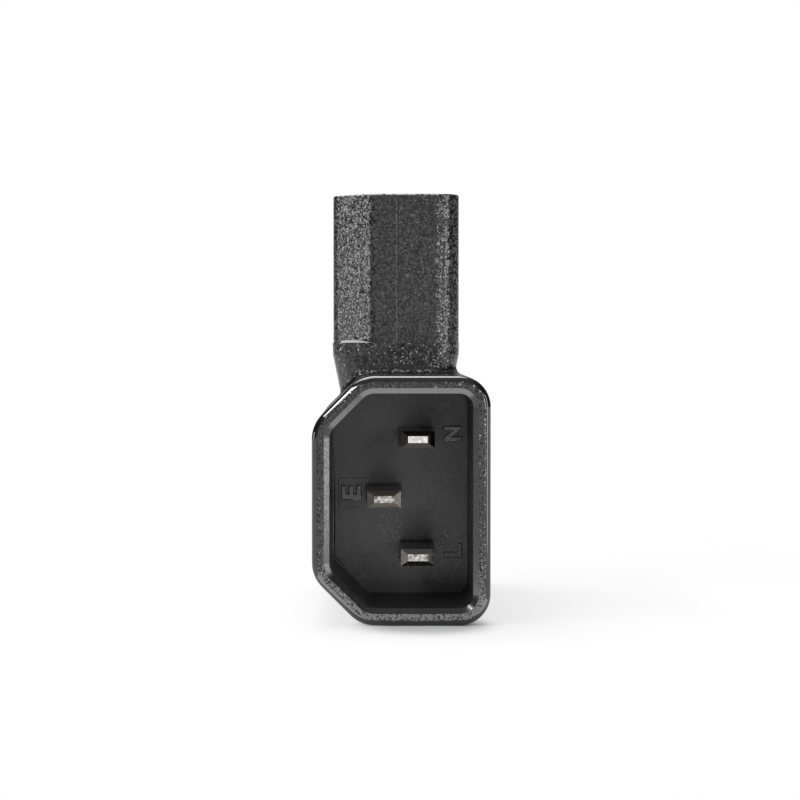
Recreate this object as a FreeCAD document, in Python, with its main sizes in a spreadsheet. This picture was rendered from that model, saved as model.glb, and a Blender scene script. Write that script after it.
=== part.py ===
import FreeCAD, Part
import os
import re
import Sketcher

# Right-angle mains adapter: a keyed three-pin inlet faces forward (-Y), a keyed
# three-slot connector nose points up (+Z). The origin is under the middle of the
# object, on the surface that it stands on.

# Driving sizes, in millimetres
SIZES = {
    # inlet socket, the keyed recess that a connector is pushed into
    "socket_width": 16.8,
    "socket_height": 25.1,
    "socket_depth": 16.65,
    "socket_draft": 0.1,
    "socket_key": 4.5,
    "socket_radius": 1.6,
    "socket_key_radius": 2.0,
    # walls round the socket: hard liner, then soft skin
    "liner_wall": 0.9,
    "skin_wall": 1.15,
    "rim_lip": 1.2,
    "rim_round": 0.75,
    "mouth_flare": 0.62,
    "mouth_bevel": 0.36,
    "floor_thickness": 4.8,
    "rear_round": 1.4,
    "rear_land": 0.3,
    # pins
    "pin_width": 4.0,
    "pin_thickness": 2.0,
    "pin_pitch": 7.0,
    "pin_stagger": 2.0,
    "pin_set_back": 4.3,
    "earth_lead": 1.3,
    "pin_tail": 3.0,
    "tip_length": 0.4,
    "tip_width": 2.3,
    "tip_thickness": 0.8,
    "relief_gap": 0.2,
    "relief_depth": 0.6,
    # connector nose
    "nose_width": 15.9,
    "nose_depth": 24.0,
    "nose_length": 18.65,
    "nose_key": 5.0,
    "nose_radius": 3.0,
    "nose_key_radius": 2.0,
    "nose_edge": 0.15,
    "nose_shift": -0.45,
    "nose_set_back": 21.45,
    "face_wall": 1.8,
    "slot_width": 4.8,
    "slot_thickness": 2.7,
    "slot_lead": 0.4,
    # neck between the shroud and the nose
    "neck_height": 3.85,
    "neck_step": 0.05,
    "neck_shoulder": 1.6,
    "neck_ease": 0.05,
    "neck_foot": 10.0,
    "neck_draw": 1.75,
    "neck_blend": 1.0,
    # root of the nose and the retainer, buried in the neck
    "root_inset": 2.0,
    "root_length": 2.5,
    "retainer_inset": 1.5,
    "retainer_thickness": 1.2,
    "buried_radius": 0.6,
    # spring contacts
    "contact_sheet": 0.4,
    "contact_play": 0.1,
    "chamber_gap": 0.2,
    "contact_gap": 0.5,
    "contact_length": 13.7,
    "contact_seam": 0.6,
    "contact_bend": 0.3,
    "tail_length": 4.5,
    # straps from the pins to the contacts
    "strap_width": 3.0,
    "strap_thickness": 0.8,
    "strap_bend": 0.6,
    "strap_gap": 0.5,
}

# Two points closer than this count as one
NEAR = 0.001

# Sizes worked out from the driving ones. A keyed corner is cut at 45 degrees, so
# its leg grows by the miter for each unit that the outline is offset.
DERIVED = {
    "miter": "2 - sqrt(2)",
    "shell_wall": "liner_wall + skin_wall",
    "shroud_width": "socket_width + 2 * shell_wall",
    "shroud_height": "socket_height + 2 * shell_wall",
    "inlet_level": "shroud_height / 2",
    "rear_margin": "rear_round + neck_blend + rear_land",
    "total_depth": "nose_set_back + nose_depth + neck_step + rear_margin",
    "rim_y": "-total_depth / 2",
    "liner_y": "rim_y + rim_lip",
    "floor_y": "rim_y + socket_depth",
    "insert_back_y": "floor_y + floor_thickness",
    "tail_end_y": "insert_back_y + pin_tail",
    "nose_y": "rim_y + nose_set_back + nose_depth / 2",
    "neck_top": "shroud_height + neck_height",
    "nose_top": "neck_top + nose_length",
    "root_bottom": "neck_top - root_length",
    "retainer_bottom": "root_bottom - retainer_thickness",
    "contact_width": "pin_width + 2 * contact_play + 2 * contact_sheet",
    "contact_depth": "pin_thickness + 2 * contact_play + 2 * contact_sheet",
    "contact_top": "nose_top - face_wall - contact_gap",
    "contact_bottom": "contact_top - contact_length",
    "strap_offset": "contact_depth / 2 - contact_sheet - strap_thickness",
    "strap_top": "contact_bottom - strap_gap",
}

# Each pole has its place in the row (-1 low or rear, +1 high or front), the side
# of the row that it is staggered to, and how far its pin tip leads the others.
POLES = {
    "line": ("-1", "1", "0"),
    "earth": ("0", "-1", "earth_lead"),
    "neutral": ("1", "1", "0"),
}

doc = FreeCAD.newDocument("angled_adapter")
sheet = doc.addObject("Spreadsheet::Sheet", "Sizes")
for row, (alias, size) in enumerate(SIZES.items(), start=1):
    sheet.set(f"A{row}", alias)
    sheet.set(f"B{row}", str(size))
    sheet.setAlias(f"B{row}", alias)
doc.recompute()


def spell(text):
    """Opens out the derived sizes in an expression and points its words at the sheet."""

    def spell_word(match):
        word = match.group()
        if word in DERIVED:
            return f"({spell(DERIVED[word])})"
        return f"Sizes.{word}" if word in SIZES else word

    return re.sub(r"[a-z_]+", spell_word, text)


def measure(text):
    """Works an expression out to a number."""
    return float(sheet.evalExpression(spell(text)))


def bind(item, name, text):
    """Ties one property of an object to an expression."""
    item.setExpression(name, spell(text))


def new_body(label, x="0", y="0", z="0"):
    """Starts a sub-part, placed by three bound coordinates."""
    body = doc.addObject("PartDesign::Body", label)
    body.Label = label
    for axis, text in zip("xyz", (x, y, z)):
        bind(body, f".Placement.Base.{axis}", text)
    return body


def new_sketch(body, name, plane, offset="0"):
    """Starts a sketch parallel to one of the body's own planes, at a bound distance."""
    sketch = body.newObject("Sketcher::SketchObject", name)
    planes = {feature.Role: feature for feature in body.Origin.OriginFeatures}
    sketch.AttachmentSupport = [(planes[plane], "")]
    sketch.MapMode = "FlatFace"
    bind(sketch, ".AttachmentOffset.Base.z", offset)
    return sketch


def front_sketch(body, name, y):
    """A sketch that faces forward at a bound depth, with X to the right and Z up."""
    return new_sketch(body, name, "XZ_Plane", f"-({y})")


def dimension(sketch, kind, ends, name, text):
    """Adds a named driving dimension that follows an expression."""
    index = sketch.addConstraint(Sketcher.Constraint(kind, *ends, measure(text)))
    sketch.renameConstraint(index, name)
    bind(sketch, f"Constraints.{name}", text)


def draw(sketch, corners, mark="corner"):
    """Draws a closed outline. A corner is two coordinates and, if it is rounded, a radius."""
    first_line = sketch.GeometryCount
    count = len(corners)
    spots = [FreeCAD.Vector(measure(corner[0]), measure(corner[1]), 0) for corner in corners]
    for index in range(count):
        sketch.addGeometry(Part.LineSegment(spots[index], spots[(index + 1) % count]))
    for index, corner in enumerate(corners):
        line = first_line + index
        following = (index + 1) % count
        sketch.addConstraint(Sketcher.Constraint("Coincident", line, 2, first_line + following, 1))
        for axis, (along, level) in enumerate((("X", "Vertical"), ("Y", "Horizontal"))):
            if corner[axis] == corners[following][axis]:
                sketch.addConstraint(Sketcher.Constraint(level, line))
            if corner[axis] != corners[index - 1][axis]:
                ends = (-1, 1, line, 1)
                dimension(sketch, f"Distance{along}", ends, f"{mark}_{index}_{along}", corner[axis])
    for index, corner in enumerate(corners):
        if len(corner) == 3:
            arc = sketch.GeometryCount
            sketch.fillet(first_line + (index - 1) % count, 2, measure(corner[2]), True, True)
            dimension(sketch, "Radius", (arc,), f"{mark}_{index}_radius", corner[2])


def box_corners(x, y, width, height):
    """The corners of a rectangle round a middle point."""
    left, right = f"{x} - ({width}) / 2", f"{x} + ({width}) / 2"
    low, high = f"{y} - ({height}) / 2", f"{y} + ({height}) / 2"
    return [(left, low), (right, low), (right, high), (left, high)]


def keyed_corners(x, y, width, height, key, radius, key_radius):
    """The corners of a rounded rectangle whose two left corners are cut at 45 degrees."""
    left, right = f"{x} - ({width}) / 2", f"{x} + ({width}) / 2"
    low, high = f"{y} - ({height}) / 2", f"{y} + ({height}) / 2"
    return [
        (right, low, radius),
        (right, high, radius),
        (f"{left} + {key}", high, key_radius),
        (left, f"{high} - ({key})", key_radius),
        (left, f"{low} + {key}", key_radius),
        (f"{left} + {key}", low, key_radius),
    ]


def socket_corners(grow):
    """The socket's outline, offset outward."""
    return keyed_corners(
        "0",
        "inlet_level",
        f"socket_width + 2 * {grow}",
        f"socket_height + 2 * {grow}",
        f"socket_key + miter * {grow}",
        f"socket_radius + {grow}",
        f"socket_key_radius + {grow}",
    )


def buried_corners(x, y, inset):
    """The nose's outline, offset inward, as the pieces in the neck have it."""
    return keyed_corners(
        x,
        y,
        f"nose_width - 2 * {inset}",
        f"nose_depth - 2 * {inset}",
        f"nose_key - miter * {inset}",
        "buried_radius",
        "buried_radius",
    )


def pad(body, name, sketch, length, flip=False):
    """Adds the sketch's outline, drawn out along its normal."""
    feature = body.newObject("PartDesign::Pad", name)
    feature.Profile = sketch
    feature.Reversed = flip
    bind(feature, "Length", length)
    doc.recompute()
    return feature


def cut(body, name, sketch, length, flip=False, both_ways=False):
    """Takes the sketch's outline away, drawn out against its normal, and checks that it bites."""
    before = body.Tip.Shape.Volume
    feature = body.newObject("PartDesign::Pocket", name)
    feature.Profile = sketch
    feature.Reversed = flip
    feature.SideType = "Symmetric" if both_ways else "One side"
    bind(feature, "Length", length)
    doc.recompute()
    if feature.Shape.Volume >= before:
        raise RuntimeError(f"{name} cuts nothing")
    return feature


def loft(body, kind, name, sections):
    """Joins outlines by straight walls, to add the form between them or to take it away."""
    feature = body.newObject(f"PartDesign::{kind}Loft", name)
    feature.Profile = sections[0]
    feature.Sections = sections[1:]
    feature.Ruled = True
    doc.recompute()


def dress_edges(body, name, kind, size, chosen):
    """Rounds or chamfers every edge whose two ends and middle pass a test."""
    base = body.Tip
    edges = []
    for number, edge in enumerate(base.Shape.Edges, start=1):
        start, end = edge.ParameterRange
        spots = [edge.valueAt(place) for place in (start, (start + end) / 2, end)]
        if all(chosen(spot) for spot in spots):
            edges.append(f"Edge{number}")
    feature = body.newObject(f"PartDesign::{kind}", name)
    feature.Base = (base, edges)
    bind(feature, "Radius" if kind == "Fillet" else "Size", size)
    doc.recompute()


def level_test(axis, text):
    """A test for points that lie at one coordinate."""
    level = measure(text)
    return lambda spot: abs(getattr(spot, axis) - level) < NEAR


def pole_spot(pole):
    """Where a pole's pin is across and up the inlet, and its contact across and along the nose."""
    place, side, _ = POLES[pole]
    pin_x = f"{side} * pin_stagger"
    pin_z = f"inlet_level + {place} * pin_pitch"
    contact_x = f"nose_shift + {side} * pin_stagger"
    contact_y = f"nose_y - {place} * pin_pitch"
    return pin_x, pin_z, contact_x, contact_y


def strap_corners(pole):
    """A strap seen from the side: it lies on the pin's tail, then turns up to its contact."""
    _, pin_z, _, contact_y = pole_spot(pole)
    low = f"{pin_z} + pin_thickness / 2"
    high = f"{low} + strap_thickness"
    front = f"{contact_y} + strap_offset"
    back = f"{front} + strap_thickness"
    return [
        ("insert_back_y", low),
        (back, low, "strap_bend + strap_thickness"),
        (back, "strap_top"),
        (front, "strap_top"),
        (front, high, "strap_bend"),
        ("insert_back_y", high),
    ]


def make_neck_form():
    """The neck as a block: a rounded column whose two flanks draw in towards the shroud."""
    body = new_body("neck_form", "nose_shift", "nose_y")
    sections = []
    for name, drop, draw_in in (
        ("neck_head", "0", "0"),
        ("neck_shoulder", "neck_shoulder", "neck_ease"),
        ("neck_foot", "neck_foot", "neck_draw"),
    ):
        section = new_sketch(body, name, "XY_Plane", f"neck_top - {drop}")
        width = f"nose_width + 2 * neck_step - 2 * {draw_in}"
        depth = "nose_depth + 2 * neck_step"
        corners = box_corners("0", "0", width, depth)
        draw(section, [(x, y, "nose_radius + neck_step") for x, y in corners])
        sections.append(section)
    loft(body, "Additive", "neck_column", sections)
    return body


def make_outer_moulding():
    """The soft overmould: shroud skin, elbow and neck in one piece, moulded round the rest."""
    neck = make_neck_form()
    body = new_body("outer_moulding")
    outline = front_sketch(body, "shroud_outline", "rim_y")
    draw(outline, socket_corners("shell_wall"))
    pad(body, "shroud", outline, "total_depth", flip=True)
    dress_edges(body, "rim_edge", "Fillet", "rim_round", level_test("y", "rim_y"))
    dress_edges(body, "rear_edge", "Fillet", "rear_round", level_test("y", "-(rim_y)"))
    shroud = body.Tip.Shape.copy()
    join = body.newObject("PartDesign::Boolean", "neck_join")
    join.setObjects([neck])
    doc.recompute()
    shells = (shroud.Shells[0], neck.Shape.Shells[0])

    def on_seam(spot):
        return all(Part.Vertex(spot).distToShape(shell)[0] < NEAR for shell in shells)

    dress_edges(body, "neck_blend", "Fillet", "neck_blend", on_seam)

    mouth = front_sketch(body, "mouth", "rim_y")
    draw(mouth, socket_corners("0"))
    cut(body, "mouth_opening", mouth, "rim_lip")
    sections = []
    for name, y, grow in (
        ("mouth_edge", "rim_y", "mouth_flare"),
        ("mouth_throat", "rim_y + mouth_bevel", "0"),
    ):
        section = front_sketch(body, name, y)
        draw(section, socket_corners(grow))
        sections.append(section)
    loft(body, "Subtractive", "mouth_lead_in", sections)

    seat = front_sketch(body, "insert_seat", "liner_y")
    draw(seat, socket_corners("liner_wall"))
    cut(body, "insert_pocket", seat, "insert_back_y - (liner_y)")
    root = new_sketch(body, "root_seat", "XY_Plane", "neck_top")
    draw(root, buried_corners("nose_shift", "nose_y", "root_inset"))
    cut(body, "root_pocket", root, "root_length")
    retainer = new_sketch(body, "retainer_seat", "XY_Plane", "root_bottom")
    draw(retainer, buried_corners("nose_shift", "nose_y", "retainer_inset"))
    cut(body, "retainer_pocket", retainer, "retainer_thickness")
    for pole in POLES:
        pin_x, pin_z, contact_x, _ = pole_spot(pole)
        tail = front_sketch(body, f"{pole}_tail_seat", "insert_back_y")
        draw(tail, box_corners(pin_x, pin_z, "pin_width", "pin_thickness"))
        cut(body, f"{pole}_tail_pocket", tail, "pin_tail")
        way = new_sketch(body, f"{pole}_strap_way", "YZ_Plane", contact_x)
        draw(way, strap_corners(pole))
        cut(body, f"{pole}_strap_channel", way, "strap_width", both_ways=True)
    return body


def make_inlet_insert():
    """The hard cup that lines the shroud, with drafted walls and a thick floor that carries the pins."""
    body = new_body("inlet_insert")
    outline = front_sketch(body, "liner_outline", "liner_y")
    draw(outline, socket_corners("liner_wall"))
    pad(body, "liner", outline, "insert_back_y - (liner_y)", flip=True)
    sections = []
    for name, y, grow in (
        ("socket_mouth", "liner_y", "0"),
        ("socket_floor", "floor_y", "(-socket_draft)"),
    ):
        section = front_sketch(body, name, y)
        draw(section, socket_corners(grow))
        sections.append(section)
    loft(body, "Subtractive", "socket_recess", sections)
    for name, gap, depth in (
        ("pin_relief", "relief_gap", "relief_depth"),
        ("pin_hole", "0", "floor_thickness"),
    ):
        holes = front_sketch(body, f"{name}_outlines", "floor_y")
        for pole in POLES:
            pin_x, pin_z, _, _ = pole_spot(pole)
            width, height = f"pin_width + 2 * {gap}", f"pin_thickness + 2 * {gap}"
            draw(holes, box_corners(pin_x, pin_z, width, height), pole)
        cut(body, name, holes, depth)
    return body


def make_pin(pole):
    """A flat pin with a bevelled tip. Its own origin is the middle of the tip."""
    pin_x, pin_z, _, _ = pole_spot(pole)
    lead = POLES[pole][2]
    tip_y = f"rim_y + pin_set_back - {lead}"
    body = new_body(f"{pole}_pin", pin_x, tip_y, pin_z)
    section = front_sketch(body, f"{pole}_pin_section", "tip_length")
    draw(section, box_corners("0", "0", "pin_width", "pin_thickness"))
    pad(body, f"{pole}_shank", section, f"tail_end_y - ({tip_y}) - tip_length", flip=True)
    tip = front_sketch(body, f"{pole}_tip_section", "0")
    draw(tip, box_corners("0", "0", "tip_width", "tip_thickness"))
    loft(body, "Additive", f"{pole}_bevel", [section, tip])
    return body


def make_contact_housing():
    """The connector nose: a keyed block with three chambers, slotted through its top face."""
    body = new_body("contact_housing", "nose_shift", "nose_y")
    outline = new_sketch(body, "nose_outline", "XY_Plane", "neck_top")
    size = ("nose_width", "nose_depth", "nose_key", "nose_radius", "nose_key_radius")
    draw(outline, keyed_corners("0", "0", *size))
    pad(body, "nose", outline, "nose_length")
    dress_edges(body, "nose_edge", "Chamfer", "nose_edge", level_test("z", "nose_top"))
    root = new_sketch(body, "root_outline", "XY_Plane", "root_bottom")
    draw(root, buried_corners("0", "0", "root_inset"))
    pad(body, "root", root, "root_length")
    chambers = new_sketch(body, "chambers", "XY_Plane", "root_bottom")
    slots = new_sketch(body, "slots", "XY_Plane", "nose_top")
    for pole, (place, side, _) in POLES.items():
        x, y = f"{side} * pin_stagger", f"-({place}) * pin_pitch"
        chamber = ("contact_width + 2 * chamber_gap", "contact_depth + 2 * chamber_gap")
        draw(chambers, box_corners(x, y, *chamber), pole)
        draw(slots, box_corners(x, y, "slot_width", "slot_thickness"), pole)
    cut(body, "contact_chambers", chambers, "nose_top - face_wall - (root_bottom)", flip=True)
    cut(body, "pin_slots", slots, "face_wall")
    half_row = measure("pin_pitch + slot_thickness / 2") + NEAR
    half_stagger = measure("pin_stagger + slot_width / 2") + NEAR
    at_face = level_test("z", "nose_top")

    def on_slot(spot):
        return at_face(spot) and abs(spot.x) < half_stagger and abs(spot.y) < half_row

    dress_edges(body, "slot_lead", "Chamfer", "slot_lead", on_slot)
    return body


def make_contact_retainer():
    """The plate that closes the chambers from below, with a slot for each strap."""
    body = new_body("contact_retainer", "nose_shift", "nose_y")
    outline = new_sketch(body, "retainer_outline", "XY_Plane", "retainer_bottom")
    draw(outline, buried_corners("0", "0", "retainer_inset"))
    pad(body, "retainer", outline, "retainer_thickness")
    slots = new_sketch(body, "strap_slots", "XY_Plane", "root_bottom")
    for pole, (place, side, _) in POLES.items():
        x = f"{side} * pin_stagger"
        y = f"-({place}) * pin_pitch + strap_offset + strap_thickness / 2"
        draw(slots, box_corners(x, y, "strap_width", "strap_thickness"), pole)
    cut(body, "strap_openings", slots, "retainer_thickness")
    return body


def make_contact(pole):
    """A socket folded from sheet: a box with a seam in front and a tail below its back wall."""
    _, _, contact_x, contact_y = pole_spot(pole)
    body = new_body(f"{pole}_contact", contact_x, contact_y)
    outline = new_sketch(body, f"{pole}_box_outline", "XY_Plane", "contact_bottom")
    fold = "contact_bend + contact_sheet"
    outer = box_corners("0", "0", "contact_width", "contact_depth")
    draw(outline, [(x, y, fold) for x, y in outer])
    pad(body, f"{pole}_box", outline, "contact_length")
    grip = new_sketch(body, f"{pole}_grip", "XY_Plane", "contact_top")
    inner = box_corners(
        "0", "0", "contact_width - 2 * contact_sheet", "contact_depth - 2 * contact_sheet"
    )
    draw(grip, [(x, y, "contact_bend") for x, y in inner])
    cut(body, f"{pole}_bore", grip, "contact_length")
    seam = front_sketch(body, f"{pole}_seam_outline", "-(contact_depth) / 2")
    middle = "(contact_bottom + contact_top) / 2"
    draw(seam, box_corners("0", middle, "contact_seam", "contact_length"))
    cut(body, f"{pole}_seam", seam, "contact_sheet")
    tail = new_sketch(body, f"{pole}_tail_outline", "XY_Plane", "contact_bottom")
    back_wall = "contact_depth / 2 - contact_sheet / 2"
    draw(tail, box_corners("0", back_wall, "strap_width", "contact_sheet"))
    pad(body, f"{pole}_tail", tail, "tail_length", flip=True)
    return body


def make_strap(pole):
    """A brass strip bent once, from the top of a pin's tail up into its contact."""
    _, _, contact_x, _ = pole_spot(pole)
    body = new_body(f"{pole}_strap", contact_x)
    profile = new_sketch(body, f"{pole}_strap_profile", "YZ_Plane")
    draw(profile, strap_corners(pole))
    strip = pad(body, f"{pole}_strip", profile, "strap_width")
    strip.SideType = "Symmetric"
    return body


sub_parts = [
    make_outer_moulding(),
    make_inlet_insert(),
    make_contact_housing(),
    make_contact_retainer(),
]
for pole in POLES:
    sub_parts += [make_pin(pole), make_strap(pole), make_contact(pole)]
doc.recompute()

for item in doc.Objects:
    if "Invalid" in item.State or "Error" in item.State:
        raise RuntimeError(f"{item.Label} failed: {item.State}")
for part in sub_parts:
    if part.Shape.isNull() or not part.Shape.isValid() or len(part.Shape.Solids) != 1:
        raise RuntimeError(f"{part.Label} is not one valid solid")

os.makedirs("parts", exist_ok=True)
for part in sub_parts:
    part.Shape.exportStep(f"parts/{part.Label}.step")
    print(f"{part.Label}: {part.Shape.Volume:.1f} cubic mm")
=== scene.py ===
# %% [markdown]
# # Angled power plug adapter
# A right-angle mains adapter: a keyed three-pin inlet looks at the reader, and a keyed
# three-slot connector nose rises behind it. The solids were drawn first, in millimetres,
# and this lesson dresses them: camera, light, finishes, and the small moulded details
# that are too fine for the solids. Sizes are written in millimetres.

# %% Load the solids
import math
import bmesh
import bpy
from mathutils import Matrix, Quaternion, Vector


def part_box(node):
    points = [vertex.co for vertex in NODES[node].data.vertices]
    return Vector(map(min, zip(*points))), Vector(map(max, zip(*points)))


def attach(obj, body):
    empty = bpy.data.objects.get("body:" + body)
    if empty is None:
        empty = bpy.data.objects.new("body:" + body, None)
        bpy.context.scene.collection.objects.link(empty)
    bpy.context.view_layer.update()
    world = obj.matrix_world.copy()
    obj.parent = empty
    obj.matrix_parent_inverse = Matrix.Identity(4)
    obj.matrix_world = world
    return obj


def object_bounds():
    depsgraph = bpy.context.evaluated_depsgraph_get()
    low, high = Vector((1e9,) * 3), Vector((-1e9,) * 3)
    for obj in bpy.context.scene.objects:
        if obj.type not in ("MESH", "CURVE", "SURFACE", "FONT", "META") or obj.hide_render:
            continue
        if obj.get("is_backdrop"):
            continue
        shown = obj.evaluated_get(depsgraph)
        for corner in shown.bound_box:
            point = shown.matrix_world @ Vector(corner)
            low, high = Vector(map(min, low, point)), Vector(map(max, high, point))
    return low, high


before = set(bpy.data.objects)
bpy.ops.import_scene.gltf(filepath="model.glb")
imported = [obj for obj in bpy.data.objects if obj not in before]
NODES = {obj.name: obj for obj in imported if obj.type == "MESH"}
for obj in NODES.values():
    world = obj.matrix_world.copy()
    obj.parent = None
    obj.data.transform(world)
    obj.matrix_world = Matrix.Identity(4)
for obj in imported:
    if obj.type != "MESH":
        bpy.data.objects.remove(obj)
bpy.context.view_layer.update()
MM = 0.001
print("solids:", sorted(NODES))

# %% [markdown]
# ## The camera
# The picture was taken with a long lens from about the height of the neck's step, almost
# square to the rim. A camera could be placed by eye, but the rim, the pin tips, the socket
# floor, the step and the nose all have known places, so their places in the picture fix
# where the lens stood: 27 cm in front of the rim, tipped down by a degree and a half.

# %% Place the camera
IMAGE_WIDTH = 800
FOCAL_PIXELS = 2338.0
SENSOR_MM = 36.0
NEAREST_SEEN = 1 * MM
LENS_AT = Vector((-2.67, -295.97, 33.28)) * MM
LEVEL = math.radians(90)
TIP_DOWN = math.radians(1.45)
TURN_RIGHT = math.radians(0.53)

lens = bpy.data.cameras.new("lens")
lens.sensor_width = SENSOR_MM
lens.lens = FOCAL_PIXELS / IMAGE_WIDTH * SENSOR_MM
lens.clip_start = NEAREST_SEEN
camera = bpy.data.objects.new("camera", lens)
camera.location = LENS_AT
camera.rotation_euler = (LEVEL - TIP_DOWN, 0, -TURN_RIGHT)
bpy.context.scene.collection.objects.link(camera)
bpy.context.scene.camera = camera
print("focal length in mm:", round(lens.lens, 1))

# %% [markdown]
# ## One function for nodes
# Materials, the surroundings and the Geometry Nodes trees are all graphs of nodes. One
# small function adds a node, sets its properties and feeds its sockets, either with a value
# or with a link from another node. A few short names for the commonest nodes keep the
# graphs readable. Colours are written as the hex values that a colour picker shows, and one
# function turns them into the linear values that light adds up in.

# %% Helpers for nodes and colours
def add_node(tree, kind, feeds=None, **settings):
    """Add one node: settings are its own properties, feeds go into its sockets."""
    made = tree.nodes.new(kind)
    for name, value in settings.items():
        setattr(made, name, value)
    for socket, value in (feeds or {}).items():
        if isinstance(value, bpy.types.NodeSocket):
            tree.links.new(value, made.inputs[socket])
        else:
            made.inputs[socket].default_value = value
    return made


def linear(hex_colour):
    """The linear colour of an sRGB hex value such as #202124, with full alpha."""
    channels = [int(hex_colour[i:i + 2], 16) / 255 for i in (1, 3, 5)]
    bent = [c / 12.92 if c <= 0.04045 else ((c + 0.055) / 1.055) ** 2.4 for c in channels]
    return (*bent, 1.0)


def fresh_material(name):
    """An empty material and its node tree."""
    material = bpy.data.materials.new(name)
    material.use_nodes = True
    material.node_tree.nodes.clear()
    return material, material.node_tree


WHITE = linear("#ffffff")
print("mid grey is", [round(c, 3) for c in linear("#808080")])

# %% Short names for common nodes
WHOLE = (0.0, 1.0)


def combine(tree, operation, *values):
    """One number from others, by a Math node."""
    feeds = dict(enumerate(values))
    return add_node(tree, "ShaderNodeMath", feeds, operation=operation).outputs[0]


def vector(tree, operation, *values):
    """One vector from others, by a Vector Math node."""
    feeds = dict(enumerate(values))
    return add_node(tree, "ShaderNodeVectorMath", feeds, operation=operation).outputs["Vector"]


def measure(tree, operation, *values):
    """One number from vectors, such as a length, by a Vector Math node."""
    feeds = dict(enumerate(values))
    return add_node(tree, "ShaderNodeVectorMath", feeds, operation=operation).outputs["Value"]


def ramp(tree, value, span=WHOLE, levels=WHOLE, kind="LINEAR"):
    """A number taken from one span to other levels, and held at both ends, by a Map Range node."""
    feeds = {"Value": value, "From Min": span[0], "From Max": span[1],
             "To Min": levels[0], "To Max": levels[1]}
    return add_node(tree, "ShaderNodeMapRange", feeds, interpolation_type=kind).outputs[0]


def mix_colours(tree, share, first, second):
    """A colour between two others, by a Mix node."""
    feeds = {0: share, 6: first, 7: second}
    return add_node(tree, "ShaderNodeMix", feeds, data_type="RGBA").outputs[2]


def ray_kinds(tree):
    """Whether a ray shows a thing straight, and whether it shows it in a mirror: 0 or 1 each."""
    path = add_node(tree, "ShaderNodeLightPath").outputs
    straight = combine(tree, "MAXIMUM", path["Is Camera Ray"], path["Is Transmission Ray"])
    return straight, path["Is Glossy Ray"]


print("short names: combine, vector, measure, ramp, mix_colours, ray_kinds")

# %% [markdown]
# ## Surroundings
# The picture's background is plain white. The part's upright faces show a studio that is
# fairly bright before and behind the part and dim to its left and right, and faces that tip
# down mirror the white that it stands on. A room could be built for this. It is simpler to
# let the camera see white, to let mirrors see white below the horizon, and to give all other
# rays a level that depends on where they go.

# %% White to the camera, a fairly bright front, dim sides
FRONT_LEVEL, SIDE_LEVEL = 0.33, 0.03
DIM_FROM, DIM_TO = 0.3, 0.7
HORIZON = 0.0

world = bpy.data.worlds.new("white_studio")
world.use_nodes = True
sky = world.node_tree
sky.nodes.clear()
heading = add_node(sky, "ShaderNodeTexCoord").outputs["Generated"]
along = add_node(sky, "ShaderNodeSeparateXYZ", {0: heading}).outputs
sideways = combine(sky, "ABSOLUTE", along["X"])
studio = ramp(sky, sideways, (DIM_FROM, DIM_TO), (FRONT_LEVEL, SIDE_LEVEL), "SMOOTHSTEP")
below = combine(sky, "LESS_THAN", along["Z"], HORIZON)
straight, mirrored = ray_kinds(sky)
mirrored_below = combine(sky, "MULTIPLY", below, mirrored)
white_shown = combine(sky, "MAXIMUM", mirrored_below, straight)
level = add_node(sky, "ShaderNodeMix", {0: white_shown, 2: studio, 3: 1.0})
glow = add_node(sky, "ShaderNodeBackground", {"Color": WHITE, "Strength": level.outputs[0]})
add_node(sky, "ShaderNodeOutputWorld", {"Surface": glow.outputs[0]})
bpy.context.scene.world = world
bpy.context.scene.view_settings.view_transform = "Standard"
print("levels in front and beside:", FRONT_LEVEL, SIDE_LEVEL)

# %% [markdown]
# ## The sheet that it stands on
# The object stands on a matt white sheet, which shows a short soft shadow in front of the
# rim and a breath of one beside it. For the camera and in mirrors the sheet is lifted towards
# white by painted light, a glow that is least at the foot of the rim and paints out the
# sheet's own shade elsewhere, so that the shadow stays only there. A sheet that ran on to
# the horizon would turn grey where the lamps no longer reach it, so some distance from the
# object it fades out into the white of the surroundings.

# %% Finish of the sheet, and the painted light on it
FADE_FROM, FADE_TO = 60 * MM, 150 * MM
# four fifths of the light comes back; a linear value, not a hex one
SHEET_WHITE = (0.8, 0.8, 0.8, 1.0)
# share of the sheet shown as painted light, a white glow that hides its shade away from the foot
SHEET_PAINTED_LIGHT = 0.7
RIM_FOOT = (2.8 * MM, -24.1 * MM, 0)
FOOT_REACH = (6.5 * MM, 8 * MM, 1)
# how many reaches from the foot the painted light begins, and where it is whole
LIFT_FROM, LIFT_TO = 0.6, 1.5

sheet_white, tree = fresh_material("white_studio_sheet")
place = add_node(tree, "ShaderNodeTexCoord").outputs["Object"]
straight, mirrored = ray_kinds(tree)
seen = combine(tree, "MAXIMUM", straight, mirrored)
fade = ramp(tree, measure(tree, "LENGTH", place), (FADE_FROM, FADE_TO), kind="SMOOTHSTEP")
gone = combine(tree, "MULTIPLY", fade, seen)
from_foot = vector(tree, "SUBTRACT", place, RIM_FOOT)
reaches = measure(tree, "LENGTH", vector(tree, "DIVIDE", from_foot, FOOT_REACH))
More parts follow.
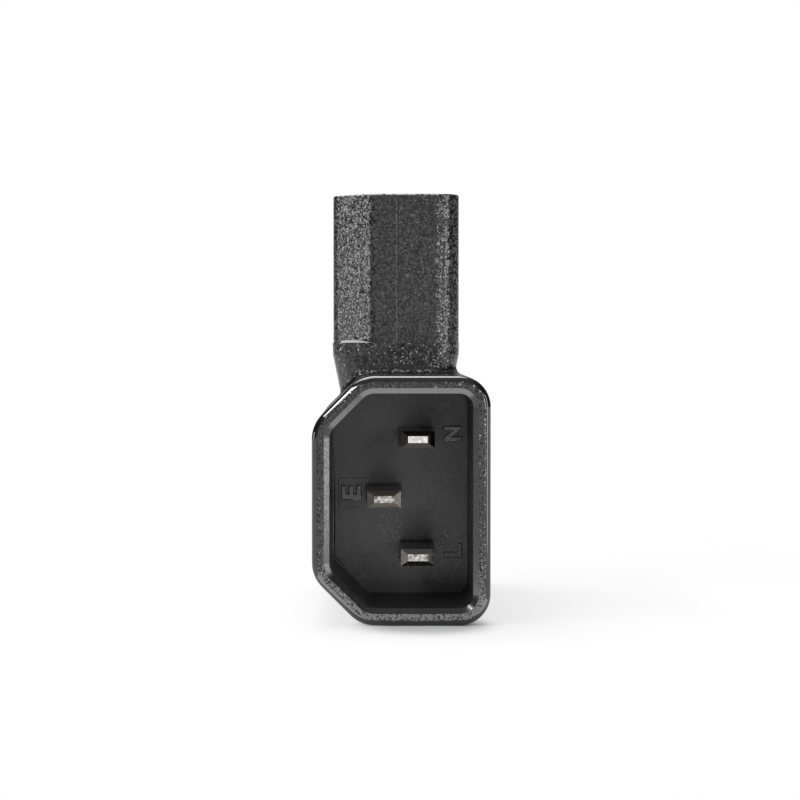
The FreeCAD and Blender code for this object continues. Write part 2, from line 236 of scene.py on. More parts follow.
# painted light: a white glow for the camera and mirrors, none at the rim's foot and whole further
# out, so that it paints out the sheet's own shade except at the foot
painted_light = ramp(tree, reaches, (LIFT_FROM, LIFT_TO), (0.0, SHEET_PAINTED_LIGHT), "SMOOTHSTEP")
painted_light_seen = combine(tree, "MULTIPLY", painted_light, seen)
matt = add_node(tree, "ShaderNodeBsdfDiffuse", {"Color": SHEET_WHITE}).outputs[0]
white = add_node(tree, "ShaderNodeEmission", {"Color": WHITE, "Strength": 1.0}).outputs[0]
sheet = add_node(tree, "ShaderNodeMixShader", {0: painted_light_seen, 1: matt, 2: white}).outputs[0]
clear = add_node(tree, "ShaderNodeBsdfTransparent").outputs[0]
faded = add_node(tree, "ShaderNodeMixShader", {0: gone, 1: sheet, 2: clear}).outputs[0]
add_node(tree, "ShaderNodeOutputMaterial", {"Surface": faded})
print("sheet finish:", sheet_white.name)

# %% White sheet
SHEET_HALF = 600 * MM

sheet_mesh = bpy.data.meshes.new("studio_sheet")
corners = [(-SHEET_HALF, -SHEET_HALF, 0), (SHEET_HALF, -SHEET_HALF, 0),
           (SHEET_HALF, SHEET_HALF, 0), (-SHEET_HALF, SHEET_HALF, 0)]
sheet_mesh.from_pydata(corners, [], [(0, 1, 2, 3)])
sheet_mesh.materials.append(sheet_white)
studio_sheet = bpy.data.objects.new("studio_sheet", sheet_mesh)
bpy.context.scene.collection.objects.link(studio_sheet)
studio_sheet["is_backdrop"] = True
print("sheet:", round(2 * SHEET_HALF, 1), "m square")

# %% [markdown]
# ## Soft boxes
# Each bright line on the black plastic is a lamp mirrored in one rounding or bevel, so the
# lines tell where the lamps stood. A long thin box up at the front left, rolled along the
# arc of the highlight, draws the white line on the rim's cut corner. A low box on the left
# makes the nose's cut corner sparkle, one at the right front puts the streak on its rounded
# corner, and one at the right side lights the left bevel of the mouth. The strongest box
# hangs overhead and a little behind: it lights the rim's top edge and throws the shadow to
# the front. A small card on the sheet fills the mouth's upper bevel. The lamps could be
# points, but a soft box is an area lamp, so its mirrored shape is real and its edge soft.

# %% Lamps
PART_MIDDLE = (0, 0, 24)
OVERHEAD = (0, -37, 100)
LENGTHWAYS = (0, 0, 1)
SOFT_BOXES = {
    # name: place and aim in mm, width and height in mm, roll in degrees, power in watts
    "key_box": ((-285, -295, 310), PART_MIDDLE, (440, 44), -26.7, 1.15),
    "left_box": ((-440, -50, 60), PART_MIDDLE, (130, 80), 0, 0.16),
    "right_front_box": ((180, -445, 60), PART_MIDDLE, (70, 100), 0, 0.18),
    "right_side_box": ((262, -185, 60), PART_MIDDLE, (70, 160), 0, 0.16),
    "top_box": ((-90, 150, 520), PART_MIDDLE, (420, 420), 0, 3.2),
    "bounce_card": ((0, -37, 0.2), OVERHEAD, (40, 22), 0, 0.006),
}
for name, (spot, aim, size, roll, power) in SOFT_BOXES.items():
    lamp = bpy.data.lights.new(name, "AREA")
    lamp.shape = "RECTANGLE"
    lamp.size, lamp.size_y = (side * MM for side in size)
    lamp.energy = power
    box = bpy.data.objects.new(name, lamp)
    box.location = Vector(spot) * MM
    pointed = (Vector(aim) * MM - box.location).to_track_quat("-Z", "Y")
    rolled = pointed @ Quaternion(LENGTHWAYS, math.radians(roll))
    box.rotation_euler = rolled.to_euler()
    box.visible_camera = False
    bpy.context.scene.collection.objects.link(box)
print("soft boxes:", list(SOFT_BOXES))

# %% [markdown]
# ## Black moulded plastics
# Three plastics are moulded here: a soft PVC skin, a harder nose, and a hard liner inside
# the inlet. All are black, and what tells them apart is the grain that spark erosion left
# in the mould: deep on the skin, shallower on the nose, and almost none on the liner. A
# picture of grain could be wrapped round the part, but cells in Object coordinates need no
# unwrapping and have the same size on every face. Each cell is a facet that leans its own
# way and has a gloss of its own, so that a few of them sparkle. The facets are a fifth of a
# millimetre wide: the real grain is finer, and is drawn this coarse so that it shows.

# %% Sizes of the grain
# too fine to show in the render at its real size, so both are drawn as coarse as it takes
GRAIN = 0.2 * MM
RIM_GRAIN = 0.18 * MM
print("facets:", round(GRAIN / MM, 2), "mm wide, at the rim", round(RIM_GRAIN / MM, 2))

# %% [markdown]
# ## The rim of the skin
# The soft skin is grained all over, but its rim lay against another half of the mould. On
# the rim's flat most facets of the grain lean little and a few lean far, its bevels are
# even, and its rounded outer edge is polished, so that it mirrors a lamp as one clean line.
# The rim could have a material of its own, with a hard border to the rest. Instead the
# skin's material asks how far behind the rim a spot lies and which way it faces, and passes
# from one grain to the other within a few millimetres.

# %% How the grain changes at the rim
# a facet's colour is its direction, and the few that lean far lie this far from mid grey
FEW_FROM, FEW_TO = 0.5, 0.85
RIM_LEAN_LEAST, RIM_LEAN_MOST = 0.24, 0.5
# how squarely the edges and the flat look to the front, along Y
EDGE_FACING, FLAT_FACING = -0.95, -1.0
RIM_CENTRE = (0, -24.1 * MM, 14.6 * MM)
# how far out from the rim's centre, along its normal, a spot begins to be polished and is so
OUTER_FROM, OUTER_TO = 0.5 * MM, 2 * MM
EDGE_GLOSS = 0.08


def rim_facets(tree, place, behind, facets):
    """Finer facets at the rim, the given ones behind it."""
    fine = add_node(tree, "ShaderNodeTexVoronoi", {"Vector": place, "Scale": 1 / RIM_GRAIN})
    return mix_colours(tree, behind, fine.outputs["Color"], facets)


def rim_lean(tree, centred, upright, behind, lean):
    """The lean at the rim, most in a few facets of the flat and none on the edges."""
    far = measure(tree, "LENGTH", centred)
    few = ramp(tree, far, (FEW_FROM, FEW_TO), (RIM_LEAN_LEAST, RIM_LEAN_MOST))
    forward = add_node(tree, "ShaderNodeSeparateXYZ", {0: upright}).outputs["Y"]
    flat = ramp(tree, forward, (EDGE_FACING, FLAT_FACING))
    at_rim = combine(tree, "MULTIPLY", few, flat)
    return ramp(tree, behind, levels=(at_rim, lean))


def rim_shine(tree, place, upright, behind, shine):
    """The roughness at the rim, polished where it faces away from the socket's middle."""
    outward = vector(tree, "SUBTRACT", place, RIM_CENTRE)
    faced = measure(tree, "DOT_PRODUCT", outward, upright)
    inner = ramp(tree, faced, (OUTER_FROM, OUTER_TO), (1.0, 0.0))
    grained = combine(tree, "MAXIMUM", inner, behind)
    return ramp(tree, grained, levels=(EDGE_GLOSS, shine))


print("lean at the rim:", RIM_LEAN_LEAST, "to", RIM_LEAN_MOST)

# %% [markdown]
# ## One recipe for the plastics
# The plastics could be drawn one by one. They differ only in two near-black colours, in how
# far their facets lean and in how rough the best and the worst facet is, so one function
# draws them all. Slow noise mixes the two colours, as plastic does that flowed and cooled.

# %% Recipe for a moulded plastic
FLOW_SIZE = 4 * MM
FLOW_DETAIL = 3.0
PLASTIC_IOR = 1.53
PLASTIC_SHINE = 0.8
HALF = (0.5, 0.5, 0.5)


def moulded_plastic(name, light, dark, lean, gloss, dull, rim=None):
    """A black plastic: how far its facets lean, and its best and worst roughness.

    rim gives two places along Y in mm, between which the grain of the rim turns into the rest.
    """
    material, tree = fresh_material(name)
    place = add_node(tree, "ShaderNodeTexCoord").outputs["Object"]
    upright = add_node(tree, "ShaderNodeNewGeometry").outputs["Normal"]
    cells = add_node(tree, "ShaderNodeTexVoronoi", {"Vector": place, "Scale": 1 / GRAIN})
    facets = cells.outputs["Color"]
    if rim:
        along = add_node(tree, "ShaderNodeSeparateXYZ", {0: place}).outputs
        behind = ramp(tree, along["Y"], [edge * MM for edge in rim])
        facets = rim_facets(tree, place, behind, facets)
    centred = vector(tree, "SUBTRACT", facets, HALF)
    shine = ramp(tree, facets, levels=(gloss, dull))
    if rim:
        lean = rim_lean(tree, centred, upright, behind, lean)
        shine = rim_shine(tree, place, upright, behind, shine)
    leaning = add_node(tree, "ShaderNodeVectorMath", {0: centred, "Scale": lean}, operation="SCALE")
    tilted = vector(tree, "ADD", upright, leaning.outputs[0])
    flow = add_node(tree, "ShaderNodeTexNoise", {"Vector": place, "Scale": 1 / FLOW_SIZE,
                    "Detail": FLOW_DETAIL})
    colour = mix_colours(tree, flow.outputs[0], linear(dark), linear(light))
    skin = add_node(tree, "ShaderNodeBsdfPrincipled", {"Base Color": colour, "Roughness": shine,
                    "Normal": vector(tree, "NORMALIZE", tilted), "IOR": PLASTIC_IOR,
                    "Specular IOR Level": PLASTIC_SHINE})
    add_node(tree, "ShaderNodeOutputMaterial", {"Surface": skin.outputs[0]})
    return material


print("flow marks:", round(FLOW_SIZE / MM, 1), "mm wide")

# %% Skin, nose and liner
# Soft PVC: deep black and satin, with a grain that catches the light in points.
soft_pvc = moulded_plastic("soft_pvc_spark_grained", "#1a1a1b", "#101011",
                           lean=0.38, gloss=0.12, dull=0.3, rim=(-23, -20))
# Nylon: the nose, as black as the skin, with a shallower grain that leaves its flats calm.
nose_nylon = moulded_plastic("nylon_spark_grained", "#1b1b1c", "#0f0f10",
                             lean=0.24, gloss=0.12, dull=0.3)
# PBT: the liner, even and dull dark grey, almost without grain.
liner_pbt = moulded_plastic("pbt_polished_core", "#1e1e1f", "#151516",
                            lean=0.06, gloss=0.36, dull=0.48)
FINISHES = {"outer_moulding": soft_pvc, "contact_housing": nose_nylon,
            "inlet_insert": liner_pbt, "contact_retainer": liner_pbt}
print("plastics:", sorted({finish.name for finish in FINISHES.values()}))

# %% [markdown]
# ## The same plastics on fine details
# Where a mould is engraved, polished or shut, and where the plastic is let in, the same
# plastic comes out with another face: shinier on the letters and on squeezed edges, and torn
# at the gates. The letters are also painted a shade lighter, a painted sheen, and the gates'
# points pale grey, painted glints. The paint tools could add that by hand. The same recipe
# with other colours, lean and gloss gives it, and each stays a finish that can be used again.

# %% Finishes for the details
# PBT on the letters, engraved in the mould and then polished: shinier than the floor, and
# painted a shade lighter than it, a painted sheen for the light that raised strokes catch.
letter_pbt_painted_sheen = moulded_plastic("pbt_polished_letters_painted_sheen", "#2a2a2b", "#202021",
                             lean=0.04, gloss=0.1, dull=0.2)
# PBT that froze first at the gates: torn, with its points painted pale grey, painted glints
# for the sparkle of the rough patch.
gate_pbt_painted_glints = moulded_plastic("pbt_gate_painted_glints", "#c4c4c5", "#77777a", lean=0.3, gloss=0.2, dull=0.4)
# Soft PVC squeezed into a shut-off edge of the mould: smooth, a bright line under the lamps.
shiny_pvc = moulded_plastic("soft_pvc_polished_edge", "#1d1d1e", "#141415",
                            lean=0.04, gloss=0.06, dull=0.12)
# Nylon on the thin flash of the parting line: smooth, a little paler than the nose.
shiny_nylon = moulded_plastic("nylon_parting_flash", "#202021", "#171718",
                              lean=0.2, gloss=0.12, dull=0.25)
print("details:", [finish.name for finish in (letter_pbt_painted_sheen, gate_pbt_painted_glints, shiny_pvc, shiny_nylon)])

# %% [markdown]
# ## Pins and contacts
# The pins are brass strip, cut and coined to a blunt wedge, then nickel plated: a pale grey
# metal with fine lines along the pull of the press, a mottled face where the strip was cut
# off, and plain flanks about as dark as its darker spots. The earth pin's flanks are painted
# darker, a painted shade; the neutral pin's tip is painted almost white, a painted highlight,
# and its flanks almost black, a painted shade. The contacts and the straps are bare spring
# brass. The lines could be modelled as scratches, but noise that is stretched along one axis
# gives them at any length.

# %% Recipe for a drawn metal strip
CUT_FACING = -0.97
LINE_LENGTH = 2.5 * MM
LINE_DETAIL = 2.0
BLOTCH_SIZE = 0.35 * MM
BLOTCH_DETAIL = 3.0
BLOTCH_FROM, BLOTCH_TO = 0.35, 0.65


def drawn_strip(name, light, dark, flank, along, line, relief, gloss, worn):
    """A metal with fine lines along one axis: line pitch and relief in mm.

    light and dark mottle the faces that were cut square across Y; flank colours the rest.
    """
    material, tree = fresh_material(name)
    place = add_node(tree, "ShaderNodeTexCoord").outputs["Object"]
    upright = add_node(tree, "ShaderNodeNewGeometry").outputs["Normal"]
    stretch = [1 / (line * MM)] * 3
    stretch["XYZ".index(along)] = 1 / LINE_LENGTH
    drawn = add_node(tree, "ShaderNodeMapping", {"Vector": place, "Scale": stretch}).outputs[0]
    lines = add_node(tree, "ShaderNodeTexNoise", {"Vector": drawn, "Scale": 1.0,
                     "Detail": LINE_DETAIL}).outputs[0]
    blotches = add_node(tree, "ShaderNodeTexNoise", {"Vector": place, "Scale": 1 / BLOTCH_SIZE,
                        "Detail": BLOTCH_DETAIL}).outputs[0]
    height = combine(tree, "ADD", lines, blotches)
    bump = add_node(tree, "ShaderNodeBump", {"Height": height, "Strength": 1.0,
                    "Distance": relief * MM})
    spread = ramp(tree, blotches, (BLOTCH_FROM, BLOTCH_TO))
    mottled = mix_colours(tree, spread, linear(dark), linear(light))
    # faces that look along -Y take the tip's mottle, the rest the flank colour: on the earth and
    # neutral pins the flank colour is a painted shade, and the neutral tip's white a painted
    # highlight
    forward = add_node(tree, "ShaderNodeSeparateXYZ", {0: upright}).outputs["Y"]
    cut = combine(tree, "LESS_THAN", forward, CUT_FACING)
    colour = mix_colours(tree, cut, linear(flank), mottled)
    rough = ramp(tree, spread, levels=(worn, gloss))
    metal = add_node(tree, "ShaderNodeBsdfPrincipled", {"Base Color": colour, "Metallic": 1.0,
                     "Roughness": rough, "Normal": bump.outputs[0]})
    add_node(tree, "ShaderNodeOutputMaterial", {"Surface": metal.outputs[0]})
    return material


print("mottles:", round(BLOTCH_SIZE / MM, 2), "mm wide")

# %% Nickel and brass
# Nickel on the line pin: pale grey, bright where it is smooth, with darker torn spots.
nickel = drawn_strip("nickel_plated_brass", "#dedad4", "#75716c", "#6f6b66",
                     along="Y", line=0.12, relief=0.008, gloss=0.1, worn=0.28)
# Nickel on the earth pin: its flanks painted darker than the line pin's, a painted shade.
dark_nickel = drawn_strip("nickel_plated_brass_dark", "#dedad4", "#75716c", "#55514d",
                          along="Y", line=0.12, relief=0.008, gloss=0.1, worn=0.28)
# Nickel on the neutral pin: its tip painted almost white, a painted highlight, and its flanks
# almost black, a painted shade.
nickel_painted_light_and_shade = drawn_strip("nickel_plated_brass_painted_light_and_shade", "#f6f4f0", "#cfccc7", "#2c2a28",
                           along="Y", line=0.12, relief=0.003, gloss=0.06, worn=0.12)
# Spring brass: yellow and satin, seen only down in the slots.
brass = drawn_strip("spring_brass", "#d9b46a", "#b48a45", "#c9a258",
                    along="Z", line=0.1, relief=0.004, gloss=0.25, worn=0.4)
PIN_FINISHES = {"line": nickel, "earth": dark_nickel, "neutral": nickel_painted_light_and_shade}
for pole, plating in PIN_FINISHES.items():
    FINISHES[f"{pole}_pin"] = plating
    FINISHES[f"{pole}_contact"] = brass
    FINISHES[f"{pole}_strap"] = brass
print("metals:", nickel.name, dark_nickel.name, nickel_painted_light_and_shade.name, brass.name)

# %% [markdown]
# ## Dressing the solids
# Each solid is one piece of one stock: moulded, or cut from strip. Its faces could be given
# finishes one by one, but then a change of the solid would undo them, so every solid gets
# one finish as a whole, and what differs from face to face is drawn inside the finish.

# %% One finish for each solid
for name, finish in FINISHES.items():
    NODES[name].data.materials.clear()
    NODES[name].data.materials.append(finish)
print("dressed:", len(FINISHES), "of", len(NODES))

# %% [markdown]
# ## Keeping a piece
# Every piece below ends as a plain mesh at the origin, with its place in its vertices, as
# the solids have theirs. A text, or an object with a modifier, could stay as it is, but its
# shape would then depend on its maker. So it is evaluated once, its mesh is kept and the
# maker object is thrown away.

# %% Helpers for pieces
SEAM = 0.001 * MM


def keep(name, mesh, finish):
    """Show a mesh as a piece of the object."""
    mesh.materials.clear()
    mesh.materials.append(finish)
    piece = bpy.data.objects.new(name, mesh)
    bpy.context.scene.collection.objects.link(piece)
    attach(piece, "root")


def plain_mesh(source):
    """The mesh of a text or modified object, which is then thrown away."""
    bpy.context.scene.collection.objects.link(source)
    shown = source.evaluated_get(bpy.context.evaluated_depsgraph_get())
    mesh = bpy.data.meshes.new_from_object(shown)
    bpy.data.objects.remove(source)
    return mesh


def weld(mesh):
    """Merge the points that lie on one another, so that every seam is closed."""
    shape = bmesh.new()
    shape.from_mesh(mesh)
    bmesh.ops.remove_doubles(shape, verts=shape.verts, dist=SEAM)
    shape.to_mesh(mesh)
    shape.free()


RIM_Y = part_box("outer_moulding")[0][1]
SOCKET_DEPTH = 16.65 * MM
FLOOR_Y = RIM_Y + SOCKET_DEPTH
print("socket floor at y =", round(FLOOR_Y / MM, 2), "mm")

# %% [markdown]
# ## Pole letters
# N, E and L are moulded on the socket floor beside their pins, lying on their sides. N and
# E are polished, and their plastic is painted a shade lighter than the floor, a painted sheen
# for the light that the raised strokes catch. L is as dull as the floor. Letters could be cut
# into the liner, but raised letters are what a mould with engraved letters gives, and a Text
# object with a little thickness and a bevel makes them. Each becomes a plain mesh with its
# seams welded, is fitted to its measured box, and is turned so that its top points left and
# its face looks out of the socket.

# %% Letters on the socket floor
LETTER_RISE = 0.3 * MM
PLATE_RISE = 0.1 * MM
# thickness, weight and bevel in the text's own units, before it is fitted to its box
TEXT_THICKNESS = 0.06
TEXT_WEIGHT = 0.02
TEXT_BEVEL = 0.03
LETTERS = {
    # letter: left, right, low and high edge on the floor in mm, what it stands on, finish
    "N": ((5.36, 7.65, 20.95, 22.72), 0.0, letter_pbt_painted_sheen),
    "E": ((-7.25, -4.78, 13.66, 15.48), PLATE_RISE, letter_pbt_painted_sheen),
    "L": ((5.42, 7.63, 6.47, 8.28), 0.0, liner_pbt),
}
# columns: where the letter's own right, top and face point in the socket
ON_ITS_SIDE = Matrix(((0, -1, 0), (0, 0, -1), (1, 0, 0)))

for letter, ((left, right, low, high), stands_on, finish) in LETTERS.items():
    text = bpy.data.curves.new(letter, "FONT")
    text.body = letter
    text.extrude = TEXT_THICKNESS
    text.offset = TEXT_WEIGHT
    text.bevel_depth = TEXT_BEVEL
    text.bevel_resolution = 1
    mesh = plain_mesh(bpy.data.objects.new(letter, text))
    weld(mesh)
    spots = [vertex.co for vertex in mesh.vertices]
    least = Vector([min(spot[axis] for spot in spots) for axis in range(3)])
    most = Vector([max(spot[axis] for spot in spots) for axis in range(3)])
    room = Vector(((high - low) * MM, (right - left) * MM, LETTER_RISE))
    fit = Matrix.Diagonal([room[axis] / (most[axis] - least[axis]) for axis in range(3)])
    corner = Vector((right * MM, FLOOR_Y - stands_on, low * MM))
    turned = (ON_ITS_SIDE @ fit).to_4x4()
    mesh.transform(Matrix.Translation(corner) @ turned @ Matrix.Translation(-least))
    keep(f"letter_{letter}", mesh, finish)
print("letters:", list(LETTERS))

# %% [markdown]
# ## The plate under the E
# The E stands on a thin raised plate, left by a small insert in the mould. It could be
# pulled out of the liner's floor, but the solids stay as they came, so it is a box of its
# own that reaches a little into the floor. A Bevel modifier rounds its edges, which is what
# makes such a low step show at all.

# %% Plate under the E
PLATE = ((-7.61, 12.65), (-4.16, 16.36))
PLATE_SUNK = 0.1 * MM
PLATE_EDGE = 0.05 * MM

(left, low), (right, high) = PLATE
outline = ((left, low), (right, low), (right, high), (left, high))
levels = (FLOOR_Y - PLATE_RISE, FLOOR_Y + PLATE_SUNK)
corners = [Vector((x * MM, y, z * MM)) for y in levels for x, z in outline]
face_and_back = [(0, 1, 2, 3), (7, 6, 5, 4)]
sides = [(4 + i, 4 + (i + 1) % 4, (i + 1) % 4, i) for i in range(4)]
plate_mesh = bpy.data.meshes.new("name_plate")
plate_mesh.from_pydata(corners, [], face_and_back + sides)
plate = bpy.data.objects.new("name_plate_blank", plate_mesh)
edge = plate.modifiers.new("edge", "BEVEL")
edge.width = PLATE_EDGE
edge.segments = 2
keep("name_plate", plain_mesh(plate), liner_pbt)
print("plate:", round(right - left, 2), "by", round(high - low, 2), "mm")

# %% [markdown]
# ## Beads along a path
# The mould leaves fine raised lines: a parting ridge down the middle of the nose, front and
# back, a short tick beside it, and a small cove where the socket's floor meets its left
# walls. Each could be modelled by hand. All are a thin round bead along a path, so one
# Geometry Nodes tree makes them: it turns the edges of a seed mesh into a curve, rounds the
# curve's corners, and sweeps a circle along it. The bead can thin out towards both ends.

# %% Geometry Nodes: a tree with named inputs, and a mesh grown by it
def growing_tree(name, inputs):
    """A tree with a seed mesh coming in, a mesh going out, and the named inputs."""
    tree = bpy.data.node_groups.new(name, "GeometryNodeTree")
    tree.interface.new_socket("Seed", in_out="INPUT", socket_type="NodeSocketGeometry")
    for label, kind in inputs.items():
        tree.interface.new_socket(label, in_out="INPUT", socket_type=kind)
    tree.interface.new_socket("Grown", in_out="OUTPUT", socket_type="NodeSocketGeometry")
    return tree, add_node(tree, "NodeGroupInput").outputs


def end_tree(tree, shape, finish):
    """Make the grown shape real, coat it and send it out. Returns the number of nodes."""
    real = add_node(tree, "GeometryNodeRealizeInstances", {"Geometry": shape})
    coated = add_node(tree, "GeometryNodeSetMaterial", {"Geometry": real.outputs[0],
                      "Material": finish})
    add_node(tree, "NodeGroupOutput", {"Grown": coated.outputs[0]})
    return len(tree.nodes)


def grow(tree, points, edges, faces, values):
    """The plain mesh that a tree grows from a seed of points in mm, with its inputs set."""
    seed = bpy.data.meshes.new(tree.name)
    seed.from_pydata([Vector(point) * MM for point in points], edges, faces)
    grower = bpy.data.objects.new(tree.name, seed)
    modifier = grower.modifiers.new(tree.name, "NODES")
    modifier.node_group = tree
    for socket in tree.interface.items_tree:
        if socket.in_out == "INPUT" and socket.name in values:
            modifier[socket.identifier] = values[socket.name]
    return plain_mesh(grower)


print("short names: growing_tree, end_tree, grow")

# %% The tree for a bead
BEAD_STEP = 0.3 * MM

bead, given = growing_tree("bead_along_path", {
    "Corner Radius": "NodeSocketFloat", "Corner Steps": "NodeSocketInt",
    "Bead Radius": "NodeSocketFloat", "Thin Ends": "NodeSocketFloat",
    "Sides": "NodeSocketInt", "Finish": "NodeSocketMaterial"})
route = add_node(bead, "GeometryNodeMeshToCurve", {"Mesh": given["Seed"]})
rounded = add_node(bead, "GeometryNodeFilletCurve", {"Curve": route.outputs[0],
                   "Count": given["Corner Steps"], "Radius": given["Corner Radius"],
                   "Limit Radius": True}, mode="POLY")
evened = add_node(bead, "GeometryNodeResampleCurve", {"Curve": rounded.outputs[0],
                  "Length": BEAD_STEP}, mode="LENGTH")
run = add_node(bead, "GeometryNodeSplineParameter").outputs["Factor"]
swell = combine(bead, "SINE", combine(bead, "MULTIPLY", run, math.pi))
thick = add_node(bead, "ShaderNodeMix", {0: given["Thin Ends"], 2: 1.0, 3: swell})
hoop = add_node(bead, "GeometryNodeCurvePrimitiveCircle", {"Resolution": given["Sides"],
                "Radius": given["Bead Radius"]})
swept = add_node(bead, "GeometryNodeCurveToMesh", {"Curve": evened.outputs[0],
                 "Profile Curve": hoop.outputs[0], "Scale": thick.outputs[0], "Fill Caps": True})
soft = add_node(bead, "GeometryNodeSetShadeSmooth", {"Geometry": swept.outputs[0]})
print("tree:", bead.name, "with", end_tree(bead, soft.outputs[0], given["Finish"]), "nodes")

# %% Where the beads run
NOSE_LOW, NOSE_HIGH = (Vector(corner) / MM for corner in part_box("contact_housing"))
NECK_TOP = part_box("outer_moulding")[1][2] / MM
FLOOR = FLOOR_Y / MM
NOSE_MID = (NOSE_LOW.x + NOSE_HIGH.x) / 2
SUNK = 0.1
NOSE_FRONT, NOSE_BACK = NOSE_LOW.y + SUNK, NOSE_HIGH.y - SUNK
RIDGE_SHORT = 0.1
RIDGE_TOP = NOSE_HIGH.z - RIDGE_SHORT
RIDGE_RADIUS = 0.13
TICK_LEVEL = 35.7
TICK_FROM, TICK_TO = -2.6, -0.35
TICK_RADIUS = 0.12
FLOOR_LEFT, FLOOR_LOW, FLOOR_HIGH = -8.3, 2.15, 27.05
FLOOR_KEY = 4.44
FLOOR_CORNER = 1.6
COVE_RADIUS = 0.3

front_ridge = [(NOSE_MID, NOSE_FRONT, NECK_TOP), (NOSE_MID, NOSE_FRONT, RIDGE_TOP)]
back_ridge = [(NOSE_MID, NOSE_BACK, NECK_TOP), (NOSE_MID, NOSE_BACK, RIDGE_TOP)]
tick = [(TICK_FROM, NOSE_FRONT, TICK_LEVEL), (TICK_TO, NOSE_FRONT, TICK_LEVEL)]
cove = [(FLOOR_LEFT, FLOOR, FLOOR_HIGH - FLOOR_KEY), (FLOOR_LEFT, FLOOR, FLOOR_LOW + FLOOR_KEY),
        (FLOOR_LEFT + FLOOR_KEY, FLOOR, FLOOR_LOW)]
print("ridge:", round(RIDGE_TOP - NECK_TOP, 2), "mm long")

# %% Sweep the beads
CORNER_STEPS = 8
BEAD_SIDES = 10
BEADS = {
    # name: points in mm, corner radius, bead radius, thin ends, finish, slot
    "parting_ridge_front": (front_ridge, 0, RIDGE_RADIUS, 0, shiny_nylon, "nose_plastic"),
    "parting_ridge_back": (back_ridge, 0, RIDGE_RADIUS, 0, shiny_nylon, "nose_plastic"),
    "parting_tick": (tick, 0, TICK_RADIUS, 0, shiny_nylon, "nose_plastic"),
    "floor_cove": (cove, FLOOR_CORNER, COVE_RADIUS, 1, liner_pbt, "hard_plastic"),
}
for name, (points, corner, radius, thin, finish, slot) in BEADS.items():
    edges = [(i, i + 1) for i in range(len(points) - 1)]
    mesh = grow(bead, points, edges, [], {
        "Corner Radius": corner * MM, "Corner Steps": CORNER_STEPS, "Bead Radius": radius * MM,
        "Thin Ends": float(thin), "Sides": BEAD_SIDES, "Finish": finish})
    keep(name, mesh, finish)
    print(name, len(mesh.polygons), "faces")

# %% [markdown]
# ## The rolled lips of the shelf
# Where the nose's corner is cut off, the neck below it is not, and a small shelf is left. Its
# outer edge carries a lip, rolled up where the two halves of the mould met, highest in the
# middle of the corner and gone at both ends. The lip could be a bead, but a round bead shows
# only a hair of light. A flat slope shows a whole band of it, so the lip is a wedge: its
# outline follows the neck's rounded corner and its back runs into the nose.

# %% The path and the sections of a lip
NECK_STEP = 0.05
NECK_CORNER = 3.05
NOSE_KEY = 5.0
LIP = 0.32
LIP_SUNK = 0.1
LIP_REACH = 2.5
LIP_LEAST = 0.05
CORNER_COUNT = 24
STRAIGHT_COUNT = 12


def lip_path(front, way):
    """Points of the neck's edge, each with the way inward from it.

    way is 1 at the front corner and -1 at the back one.
    """
    left = NOSE_LOW.x - NECK_STEP
    middle = Vector((left + NECK_CORNER, front + way * NECK_CORNER))
    path = []
    for step in range(CORNER_COUNT + 1):
        turn = step / CORNER_COUNT * math.pi / 2
        inward = Vector((math.cos(turn), way * math.sin(turn)))
        path.append((middle - NECK_CORNER * inward, inward))
    straight = NOSE_KEY - NECK_CORNER
    for step in range(1, STRAIGHT_COUNT + 1):
        share = step / STRAIGHT_COUNT
        path.append((Vector((left + NECK_CORNER + share * straight, front)), Vector((0, way))))
    return path


def lip_sections(path):
    """Five corners of the wedge at each point of the edge, with hardly a rise at either end."""
    sections = []
    for edge, inward in path:
        share = (edge.x - path[0][0].x) / NOSE_KEY
        rise = LIP * max(math.sin(math.pi * share), LIP_LEAST)
        crest = edge + inward * rise
        back = edge + inward * LIP_REACH
        sections.append([(*edge, NECK_TOP), (*crest, NECK_TOP + rise), (*back, NECK_TOP + rise),
                         (*back, NECK_TOP - LIP_SUNK), (*edge, NECK_TOP - LIP_SUNK)])
    return sections


print("lip:", LIP, "mm high")

# %% Two wedges along the neck's corners
def skinned(name, sections):
    """A closed mesh through sections of equally many points in mm."""
    count = len(sections[0])
    points = [Vector(point) * MM for section in sections for point in section]
    last = len(points) - 1
    faces = [tuple(range(count)), tuple(range(last, last - count, -1))]
    for row in range(0, last + 1 - count, count):
        for i in range(count):
            j = (i + 1) % count
            faces.append((row + i, row + count + i, row + count + j, row + j))
    mesh = bpy.data.meshes.new(name)
    mesh.from_pydata(points, [], faces)
    return mesh


LIPS = {
    # name: place of the neck's face along Y in mm, way inward from it
    "shelf_lip_front": (NOSE_LOW.y - NECK_STEP, 1),
    "shelf_lip_back": (NOSE_HIGH.y + NECK_STEP, -1),
}
for name, (front, way) in LIPS.items():
    # the back lip is a mirror image, so its sections run the other way to keep its faces outward
    mesh = skinned(name, lip_sections(lip_path(front, way))[::way])
    keep(name, mesh, shiny_pvc)
    print(name, len(mesh.polygons), "faces")

# %% [markdown]
# ## Rough gate marks
# Two patches of the socket floor are rough, where the plastic was let into the mould and
# froze first. A bump texture would look flat from the side, so the roughness is made of
# small pimples: Geometry Nodes scatter points over a seed patch, with a fixed seed number,
# and set a small sphere of its own size on each.

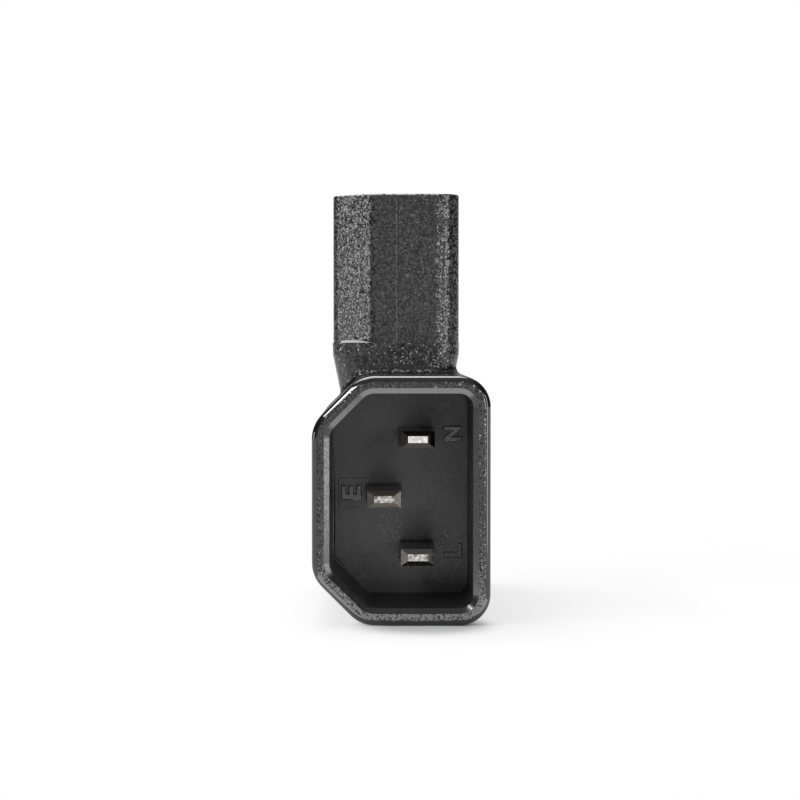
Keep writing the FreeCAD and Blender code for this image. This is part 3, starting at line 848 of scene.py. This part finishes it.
# %% The tree that scatters pimples
rough, given = growing_tree("scattered_pimples", {
    "Per Square Metre": "NodeSocketFloat", "Smallest": "NodeSocketFloat",
    "Largest": "NodeSocketFloat", "Seed Number": "NodeSocketInt",
    "Finish": "NodeSocketMaterial"})
spots = add_node(rough, "GeometryNodeDistributePointsOnFaces", {"Mesh": given["Seed"],
                 "Density": given["Per Square Metre"], "Seed": given["Seed Number"]})
ball = add_node(rough, "GeometryNodeMeshIcoSphere", {"Radius": 1.0, "Subdivisions": 1})
size = add_node(rough, "FunctionNodeRandomValue", {2: given["Smallest"], 3: given["Largest"],
                "Seed": given["Seed Number"]}, data_type="FLOAT")
set_out = add_node(rough, "GeometryNodeInstanceOnPoints", {"Points": spots.outputs["Points"],
                   "Instance": ball.outputs[0], "Scale": size.outputs[1]})
print("tree:", rough.name, "with", end_tree(rough, set_out.outputs[0], given["Finish"]), "nodes")

# %% Two patches of pimples
PATCH_SIDES = 24
PER_SQUARE_MM = 40
PIMPLE_LEAST, PIMPLE_MOST = 0.03 * MM, 0.075 * MM
# the pimples are coated pale grey: painted glints
GATE_MARKS = {
    # name: centre on the floor, half width and half height in mm, seed number
    "gate_mark_middle": ((-1.15, 10.53), (1.7, 1.6), 4),
    "gate_mark_right": ((5.34, 8.67), (0.7, 1.0), 9),
}
turns = [2 * math.pi * i / PATCH_SIDES for i in range(PATCH_SIDES)]
for name, ((x, z), (half_width, half_height), number) in GATE_MARKS.items():
    patch = [(x + half_width * math.cos(t), FLOOR, z + half_height * math.sin(t)) for t in turns]
    mesh = grow(rough, patch, [], [tuple(range(PATCH_SIDES))], {
        "Per Square Metre": PER_SQUARE_MM / MM ** 2, "Smallest": PIMPLE_LEAST,
        "Largest": PIMPLE_MOST, "Seed Number": number, "Finish": gate_pbt_painted_glints})
    keep(name, mesh, gate_pbt_painted_glints)
    print(name, len(mesh.polygons), "faces")

# %% [markdown]
# ## Sizes, and the end
# The details must not make the adapter larger than its solids. That could be judged by eye;
# here the box of everything shown is written out to a hundredth of a millimetre.

# %% Record the sizes and finish
low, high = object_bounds()
print("visual box in mm:", [[round(c / MM, 2) for c in corner] for corner in (low, high)])
